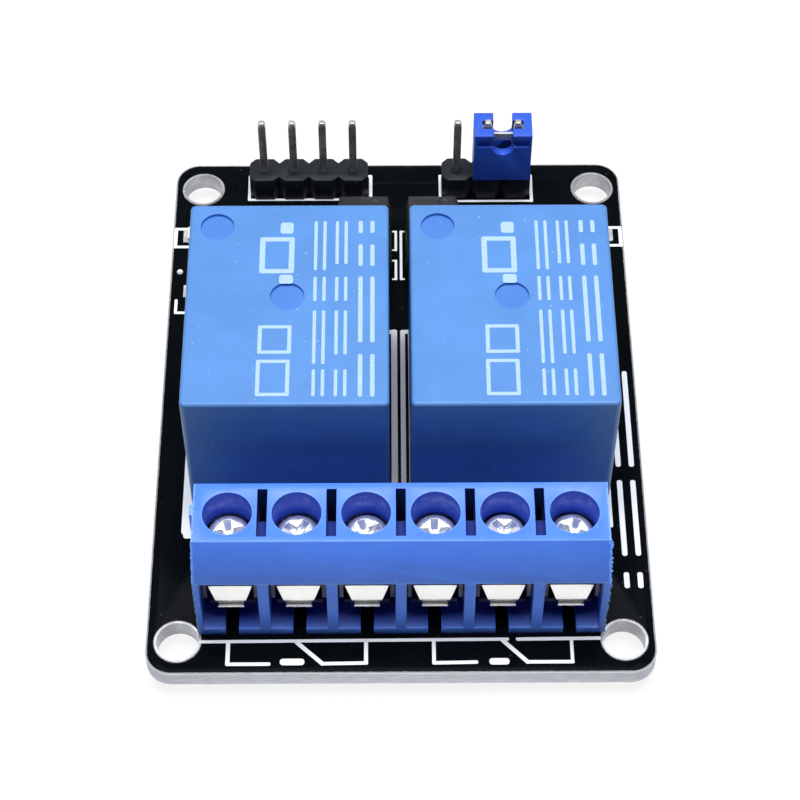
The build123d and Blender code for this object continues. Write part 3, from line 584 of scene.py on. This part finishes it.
terminal_low, terminal_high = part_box("terminal_housing")
pitch, well_y, well_radius, well_fade = 0.00508, -0.0175, 0.00186, 0.00003
brow_run, brow_drop = 0.0019, 0.0029
highlight_drop, highlight_core, highlight_reach = 0.0010, 0.0001, 0.0006
slot_half_width, slot_fade, slot_edge, slot_edge_fade = 0.000382, 0.000008, 0.00008, 0.00004
slot_front, slot_step, slot_back, step_fade = 0.0022, 0.00405, 0.0066, 0.0001
window_sill, window_head, window_front, window_back = 0.0038, 0.01034, 0.00012, 0.0064
shade_start, shade_end, least_shade, most_shade = 0.0001, 0.0015, 0.36, 0.90
walled_end, wall_fade, pale_end, pale_fade, end_wander = 0.0149, 0.0001, 0.01512, 0.00004, 0.00006
painted_edge_highlight, end_edge, painted_well_highlight = tone(150, 205, 255), tone(150, 200, 255), tone(170, 195, 250)
painted_well_shade, painted_window_shade = tone(22, 58, 204), tone(12, 30, 146)
painted_slot_shade, painted_slot_deep_shade = tone(13, 22, 104), tone(6, 8, 62)

terminal_blue = moulded(
    "terminal_blue_nylon", tone(82, 136, 255), polish=(0.34, 0.46), grain=0.00025, depth=0.000004,
    haze=0.6, shine=0.35)
tree = terminal_blue.node_tree
place = object_place(tree)
x, y, z = axes(tree, place)
over = maths(tree, "SUBTRACT", maths(tree, "FLOORED_MODULO", x, pitch), pitch / 2)
from_axis = distance(tree, over, maths(tree, "SUBTRACT", y, well_y))
from_divider = maths(tree, "SUBTRACT", pitch / 2, maths(tree, "ABSOLUTE", over))
from_front = maths(tree, "SUBTRACT", y, terminal_low.y)
below_top = maths(tree, "SUBTRACT", z, terminal_high.z)
below_brow = maths(tree, "ADD", below_top, brow_drop)

# Painted highlights: thin pale lines laid along the well rims, the brow edge and the window lip.
well_rim = near(tree, maths(tree, "SUBTRACT", from_axis, well_radius), below_top, reach=0.00003, fade=0.00004)
brow_edge = near(tree, maths(tree, "SUBTRACT", from_front, brow_run), below_top, reach=0.00005, fade=0.00005)
lip_edge = near(tree, from_front, below_brow, reach=0.00007, fade=0.00006)
overlaid(terminal_blue, strongest(tree, well_rim, brow_edge, lip_edge), painted_edge_highlight, share=0.22)

not_end_face = falling(tree, facing(tree, axis=0), 0.80, 0.95)
wander = blotches(tree, place, 0.0003, -end_wander, end_wander)
to_end = maths(tree, "ADD", maths(tree, "ABSOLUTE", x), wander)
by_end = ramp(tree, to_end, pale_end, pale_end + pale_fade)
overlaid(terminal_blue, product(tree, by_end, not_end_face), end_edge, share=0.5)

# Painted shade: the inside of each well is laid over with a deeper blue.
in_well = falling(tree, from_axis, well_radius - well_fade, well_radius)
overlaid(terminal_blue, in_well, painted_well_shade, share=0.5)
# Painted highlights: pale cloudy patches laid on the well walls in a band a little below the top.
from_highlight_band = maths(tree, "ABSOLUTE", maths(tree, "ADD", below_top, highlight_drop))
highlight_band = falling(tree, from_highlight_band, highlight_core, highlight_reach)
highlight_patches = blotches(tree, place, 0.0009, 0.0, 0.5, detail=5.0, thin=0.46, thick=0.66)
overlaid(terminal_blue, product(tree, in_well, highlight_band, highlight_patches), painted_well_highlight)

# Painted shade: the slots between the poles are laid over with dark blue, darkest in their deeper back part.
inside_ends = falling(tree, maths(tree, "ABSOLUTE", x), walled_end, walled_end + wall_fade)
slot_width = falling(tree, from_divider, slot_half_width, slot_half_width + slot_fade)
slot_height = falling(tree, below_top, -slot_edge, slot_edge_fade - slot_edge)
slot_run = between(tree, from_front, slot_front, slot_back)
in_slot = product(tree, slot_width, slot_height, slot_run, inside_ends)
deep_end = ramp(tree, from_front, slot_step, slot_step + step_fade)
overlaid(terminal_blue, in_slot, mixed(tree, deep_end, painted_slot_shade, painted_slot_deep_shade), share=0.94)
# Painted shade: a dark blue is laid inside the wire windows, growing stronger further in.
in_window = product(
    tree, between(tree, z, window_sill, window_head), between(tree, from_front, window_front, window_back))
going_in = ramp(tree, from_front, shade_start, shade_end, least_shade, most_shade)
overlaid(terminal_blue, product(tree, in_window, going_in, inside_ends), painted_window_shade)
housing = eased("terminal_housing", terminal_blue, width=0.00010)

slot_hole, slot_hole_y, slot_hole_z = (0.00070, 0.00224, 0.0030), -0.01652, 0.0093
for divider in range(-2, 3):
    slot_middle = (divider * pitch, slot_hole_y, slot_hole_z)
    cutter = alone(bpy.ops.mesh.primitive_cube_add, size=1, location=slot_middle, scale=slot_hole)
    cut_out(housing, cutter, "deep_slot")

flash_blue = moulded(
    "terminal_flash", tone(110, 165, 250), polish=(0.45, 0.55), grain=0.00025, depth=0.000004)
flash_step, flash_foot, flash_root, end_face = 0.00017, 0.0033, 0.01521, 0.01524
flash_thinnest, flash_spread = 0.00003, 0.00015
flash_front, flash_back, flash_half_height = 0.00004, 0.00007, 0.00010
front_y, brow_z = terminal_low.y, terminal_high.z - brow_drop
brow_line = [(front_y + brow_run, terminal_high.z), (front_y, brow_z), (front_y, flash_foot)]
flash = []
for side, size in ((-1, 0.45), (1, 1.0)):
    for (y0, z0), (y1, z1) in zip(brow_line, brow_line[1:]):
        steps = round(math.dist((y0, z0), (y1, z1)) / flash_step)
        for step in range(steps):
            share = (step + 0.5) / steps
            at_y, at_z = y0 + share * (y1 - y0), z0 + share * (z1 - z0)
            uneven = abs(math.modf(math.sin(step * 12.99 + side) * 437.585)[0])
            proud = size * (flash_thinnest + flash_spread * uneven)
            inner, outer = sorted((side * flash_root, side * (end_face + proud)))
            low = (inner, at_y - flash_front, at_z - flash_half_height)
            high = (outer, at_y + flash_back, at_z + flash_half_height)
            flash.append(plate(low, high))
joined("terminal_flash", flash, flash_blue, "root")


# Wire clamps: in each pole a folded plated steel frame and a bright tinned leaf that the wire goes under. The
# leaf is painted dark along its fold, as painted shade in the crease. It rises and falls with its screw.
fold_low, fold_high, fold_fade = 0.00593, 0.00622, 0.00005
terminal_steel = metal(
    "terminal_steel", tone(146, 148, 162), polish=(0.28, 0.42), grain=0.0005, depth=0.000005, dark=0.6)
leaf_tin = metal(
    "bright_leaf_tin", tone(241, 242, 240), polish=(0.20, 0.28), grain=0.0007, depth=0.000004, dark=0.94)
tree = leaf_tin.node_tree
height = axes(tree, object_place(tree))[2]
# Painted shade: a dark band laid along the leaf's fold.
painted_fold_shade = between(tree, height, fold_low, fold_high, fold_fade)
overlaid(leaf_tin, painted_fold_shade, tone(52, 50, 52), share=0.85)
for pole in range(1, 7):
    dress(terminal_steel, f"terminal_contact_{pole}")
    eased(f"clamp_leaf_{pole}", leaf_tin, width=0.00006)


# Clamp screws: cold-headed zinc-plated steel, a domed head with a worn cross recess over a threaded shank.
# One is shaped at the first pole and copied to the other poles, and each is turned its own way.
screw_zinc = metal(
    "screw_zinc", tone(224, 228, 233), polish=(0.18, 0.28), grain=0.0005, depth=0.000006,
    dark=0.84, metallic=0.75)
screw_low, screw_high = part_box("terminal_screw_1")
screw_x, screw_y = (screw_low.x + screw_high.x) / 2, (screw_low.y + screw_high.y) / 2
head_radius, head_height, dome = 0.0016, 0.0011, 0.00042
recess_bar, recess_drop, recess_taper = (0.00262, 0.00074, 0.0010), 0.0002, (0.45, 0.40, 1.0)
shank_radius, groove, thread_rings = 0.00125, 0.86, 15
recess_turns = (0.18, 0.95, 0.42, 0.06, 0.70, 1.20)
seat = screw_high.z - head_height

screw = alone(
    bpy.ops.mesh.primitive_cylinder_add, vertices=48, radius=head_radius, depth=head_height,
    location=(screw_x, screw_y, seat + head_height / 2))
pick(screw, "EDGE", lambda edge: all(end.co.z > screw_high.z - 1e-6 for end in edge.verts))
bpy.ops.mesh.bevel(offset=dome, segments=6, affect="EDGES")
bpy.ops.object.mode_set(mode="OBJECT")
for turn in (0.0, math.pi / 2):
    cutter = alone(
        bpy.ops.mesh.primitive_cube_add, size=1, location=(screw_x, screw_y, screw_high.z - recess_drop),
        rotation=(0, 0, turn), scale=recess_bar)
    pick(cutter, "FACE", lambda face: face.normal.z < -0.9)
    bpy.ops.transform.resize(value=recess_taper)
    bpy.ops.object.mode_set(mode="OBJECT")
    cut_out(screw, cutter, "recess")
soft_rim = screw.modifiers.new("worn_rim", "BEVEL")
soft_rim.width, soft_rim.segments = 0.00004, 2
soft_rim.limit_method, soft_rim.angle_limit = "ANGLE", math.radians(34)
bpy.ops.object.modifier_apply(modifier="worn_rim")

half_ring = (seat - screw_low.z) / thread_rings / 2
shank = drawn_out(
    alone(bpy.ops.mesh.primitive_circle_add, vertices=32, radius=shank_radius * groove,
          location=(screw_x, screw_y, screw_low.z), fill_type="NGON"),
    ((half_ring, 1 / groove), (half_ring, groove)) * thread_rings)
bpy.ops.object.select_all(action="DESELECT")
shank.select_set(True)
screw.select_set(True)
bpy.context.view_layer.objects.active = screw
bpy.ops.object.join()
bpy.ops.object.shade_smooth_by_angle(angle=math.radians(30))
finished(screw, screw_zinc)
for pole, turn in enumerate(recess_turns, start=1):
    low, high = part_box(f"terminal_screw_{pole}")
    copy = screw
    if pole < len(recess_turns):
        copy = bpy.data.objects.new("screw_copy", screw.data.copy())
        bpy.context.collection.objects.link(copy)
    copy.name = f"clamp_screw_{pole}"
    to_pole = Matrix.Translation(((low.x + high.x) / 2, (low.y + high.y) / 2, 0))
    copy.data.transform(
        to_pole @ Matrix.Rotation(turn, 4, "Z") @ Matrix.Translation((-screw_x, -screw_y, 0)))
    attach(copy, f"screw_{pole}")
    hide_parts(f"terminal_screw_{pole}")


# Relays: a light blue moulded cover over a dark blue base, glued shut, standing on five leads in the board.
# Inside are a wound bobbin on an iron core, a bent yoke, a rocking armature and two fixed contacts.
relay_blue = moulded(
    "relay_cover_blue", tone(82, 137, 208), polish=(0.38, 0.48), grain=0.00022, depth=0.0000035,
    haze=0.7, shine=0.36)
base_blue = moulded(
    "relay_base_blue", tone(30, 66, 170), polish=(0.40, 0.50), grain=0.00022, depth=0.000004, shine=0.30)
magnet_iron = metal("plated_iron", tone(150, 152, 154), polish=(0.28, 0.45), grain=0.0003, depth=0.000008)
bobbin_cream = moulded("bobbin_cream", tone(232, 228, 214), polish=(0.40, 0.50), grain=0.0002, depth=0.000004)
copper_wire = metal("enamelled_copper", tone(170, 84, 42), polish=(0.22, 0.34), grain=0.0008, depth=0.000002)
spring_brass = metal(
    "spring_brass", tone(214, 178, 110), polish=(0.22, 0.34), grain=0.0006, depth=0.000002, dark=0.86)
tinned_lead = metal("tinned_lead", tone(205, 206, 206), polish=(0.22, 0.40), grain=0.0003, depth=0.000010)

wire_width, wire_round = 0.00016, 0.00003
tree = copper_wire.node_tree
height = axes(tree, object_place(tree))[2]
turns = maths(tree, "ABSOLUTE", maths(tree, "SINE", maths(tree, "MULTIPLY", height, math.pi / wire_width)))
relief(tree, tree.nodes["Principled BSDF"], turns, wire_round)

relay_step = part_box("right_relay_cover")[0].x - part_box("left_relay_cover")[0].x
sunk_marks = ((-0.00845, -0.0017), (-0.01395, 0.0051))
sunk_radius, sunk_floor, sunk_top, sunk_fade = 0.00129, 0.0181, 0.01862, 0.00003
tree = relay_blue.node_tree
x, y, z = axes(tree, object_place(tree))
spots = []
for shift in (0.0, relay_step):
    for mark_x, mark_y in sunk_marks:
        beside = maths(tree, "SUBTRACT", x, mark_x + shift)
        spots.append(near(tree, beside, maths(tree, "SUBTRACT", y, mark_y), sunk_radius, sunk_fade))
# Painted shade: the floors of the sunk marks on the covers are laid a darker blue.
painted_sunk_shade = product(tree, strongest(tree, *spots), between(tree, z, sunk_floor, sunk_top, sunk_fade))
overlaid(relay_blue, painted_sunk_shade, tone(48, 104, 202), share=0.42)
relay_finishes = (
    (relay_blue, ("cover",)), (base_blue, ("base",)), (magnet_iron, ("yoke", "core", "armature")),
    (bobbin_cream, ("bobbin",)), (copper_wire, ("winding",)), (tinned_lead, ("coil_pins",)),
    (spring_brass, ("contact_spring", "open_contact", "closed_contact")),
)
for side in ("left", "right"):
    for finish, parts in relay_finishes:
        dress(finish, *(f"{side}_relay_{part}" for part in parts))


# Relay print: pale ink pressed on top of each cover, thin in places. Plain bars stand in three columns, with
# plain frames and two small blocks in a fourth beside them.
pale_ink = ink(
    "relay_pale_ink", tone(172, 203, 232), fresh=tone(174, 205, 234), worn=tone(120, 168, 238),
    per_metre=7000.0, levels=(0.52, 0.66), wear=0.6, depth=0.000003, roughness=0.50)
print_thickness, bar_spread, bar_trim = 0.000015, 0.68, 0.12
bar_columns = [
    (-6.03, 0.50, ((30.87, 26.04), (25.39, 23.08), (22.18, 17.19), (16.70, 14.28))),
    (-4.40, 0.50, ((30.86, 26.62), (25.38, 23.07), (22.17, 18.05), (16.69, 14.27))),
    (-2.50, 0.66, ((30.85, 29.71), (28.51, 26.48), (25.37, 19.21), (18.04, 14.26))),
]
print_frames = [
    (-10.63, -7.99, 25.75, 29.29, 0.42), (-10.55, -8.05, 18.15, 20.80, 0.30),
    (-10.60, -8.12, 14.30, 17.60, 0.30),
]
print_blocks, block_corner = [(-9.10, -8.10, 29.65, 30.75), (-9.10, -8.05, 24.75, 25.60)], 0.0002
for side, shift in (("left", 0.0), ("right", 1000 * relay_step)):
    cover_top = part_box(f"{side}_relay_cover")[1].z - ink_sunk
    marks = []
    for column_x, width, bars in bar_columns:
        for back, front in bars:
            for offset in (-bar_spread * width, bar_spread * width):
                bar_x = column_x + shift + offset
                start, end = (bar_x, front + bar_trim), (bar_x, back - bar_trim)
                marks.append(drawn_line(start, end, width / 2, cover_top, print_thickness))
    for x0, x1, y0, y1, width in print_frames:
        left, right = x0 + width / 2 + shift, x1 - width / 2 + shift
        front, back = y0 + width / 2, y1 - width / 2
        corners = [(left, front), (right, front), (right, back), (left, back)]
        for first, second in zip(corners, corners[1:] + corners[:1]):
            marks.append(drawn_line(first, second, width, cover_top, print_thickness))
    for x0, x1, y0, y1 in print_blocks:
        low = ((x0 + shift) / 1000, y0 / 1000 - board_half_length, cover_top)
        high = ((x1 + shift) / 1000, y1 / 1000 - board_half_length, cover_top + print_thickness)
        marks.append(plate(low, high, block_corner))
    joined(f"{side}_relay_print", marks, pale_ink, "root")


# Optocouplers: two black epoxy bodies with a mark for their first lead, moulded round a stamped lead frame.
# Each stands on four tinned leads that are soldered from below.
opto_black = moulded(
    "opto_black_epoxy", tone(24, 26, 32), polish=(0.45, 0.56), grain=0.00012, depth=0.000006,
    haze=0.4, shine=0.30)
for side in ("left", "right"):
    eased(f"{side}_optocoupler_body", opto_black, width=0.00006)
dress(tinned_lead, "optocoupler_leads")


# Headers: square tinned pins pressed through black moulded strips that are notched between the ways. The
# input header has four pins and the power header three, and all are soldered from below.
header_black = moulded(
    "header_black_nylon", tone(18, 23, 31), polish=(0.42, 0.54), grain=0.00018, depth=0.000006,
    haze=0.4, shine=0.18)
pin_metal = metal(
    "header_pin_tin", tone(208, 204, 196), polish=(0.26, 0.38), grain=0.0007, depth=0.000006,
    dark=0.5, metallic=0.7)
for strip_name in ("input", "power"):
    eased(f"{strip_name}_header_body", header_black, width=0.00007)
    eased(f"{strip_name}_header_pins", pin_metal, width=0.00005)


# Jumper: a blue moulded cap over a folded spring clip that bridges two pins; it pulls straight off. Its two
# pin openings are painted dark inside, as painted shade.
jumper_blue = moulded(
    "jumper_blue", tone(46, 92, 210), polish=(0.36, 0.46), grain=0.0002, depth=0.000004, shine=0.30)
clip_steel = metal(
    "jumper_clip_steel", tone(196, 196, 198), polish=(0.36, 0.48), grain=0.0003, depth=0.000008,
    metallic=0.55)
opening_inner, opening_outer, opening_half_width = 0.00078, 0.00176, 0.00049
opening_top, opening_depth = 0.00010, 0.0060
cap_low, cap_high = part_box("jumper_cap")
tree = jumper_blue.node_tree
x, y, z = axes(tree, object_place(tree))
from_middle_x = maths(tree, "ABSOLUTE", maths(tree, "SUBTRACT", x, (cap_low.x + cap_high.x) / 2))
from_middle_y = maths(tree, "SUBTRACT", y, (cap_low.y + cap_high.y) / 2)
down = maths(tree, "SUBTRACT", cap_high.z, z)
painted_opening_shade = product(
    tree, between(tree, from_middle_x, opening_inner, opening_outer),
    between(tree, from_middle_y, -opening_half_width, opening_half_width),
    between(tree, down, opening_top, opening_depth))
overlaid(jumper_blue, painted_opening_shade, tone(6, 9, 40), share=0.9)
eased("jumper_cap", jumper_blue, width=0.00006)
eased("jumper_clip", clip_steel, width=0.00004)


# Small parts behind the relays: chip resistors, indicators, transistors and diodes, set down on the board's
# face and soldered at their end caps and feet.
chip_black = moulded("chip_black_glaze", tone(28, 28, 32), polish=(0.22, 0.34), grain=0.0002, depth=0.000003)
led_resin = moulded("led_pale_resin", tone(226, 226, 206), polish=(0.14, 0.24), grain=0.0002, depth=0.000002)
diode_black = moulded("diode_black", tone(36, 36, 38), polish=(0.34, 0.46), grain=0.0002, depth=0.000004)
dress(chip_black, "chip_resistors")
dress(led_resin, "indicator_leds")
dress(opto_black, "transistors")
dress(diode_black, "flyback_diodes")
dress(bright_solder, "chip_end_caps")
dress(tinned_lead, "surface_part_feet")
